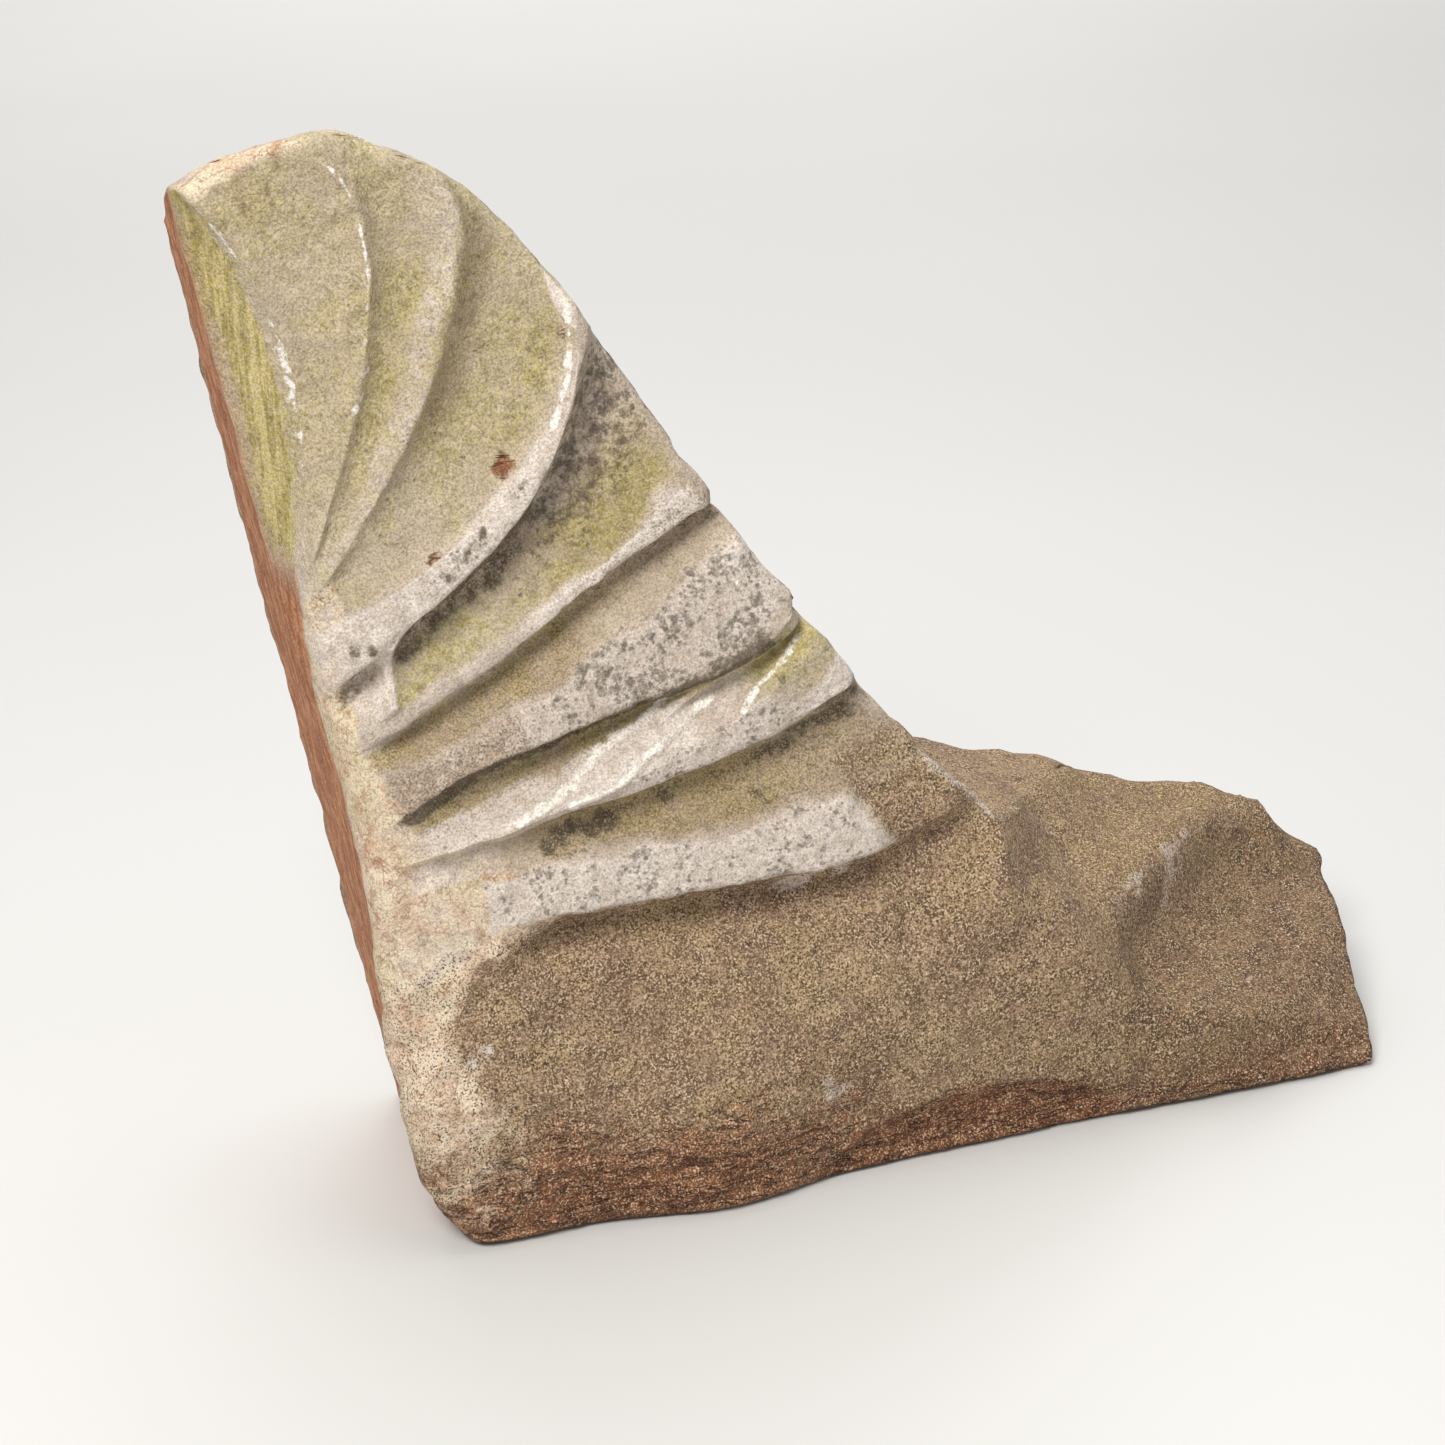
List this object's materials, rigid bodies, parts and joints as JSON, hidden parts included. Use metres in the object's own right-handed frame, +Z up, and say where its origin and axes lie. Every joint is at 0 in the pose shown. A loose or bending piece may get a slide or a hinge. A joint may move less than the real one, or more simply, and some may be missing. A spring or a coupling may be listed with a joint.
{
  "type": "arch keystone fragment",
  "caption": "Carved stone fragment of an arch keystone: leaning upper part with fanned leaf lobes and parallel flutes over a plain, rough foot.",
  "frame": {"origin": "middle of the bounding box on the ground plane", "axes": "+X along the carved front towards the end of the foot, +Y from the carved front to the plain back, +Z up as the stone stands on its underside"},
  "size_m": [0.6836, 0.2064, 0.5897],
  "materials": {
    "weathered_marble": "coarse weathered marble with lichen"
  },
  "bodies": {
    "root": {"keystone": "weathered_marble"}
  },
  "joints": []
}
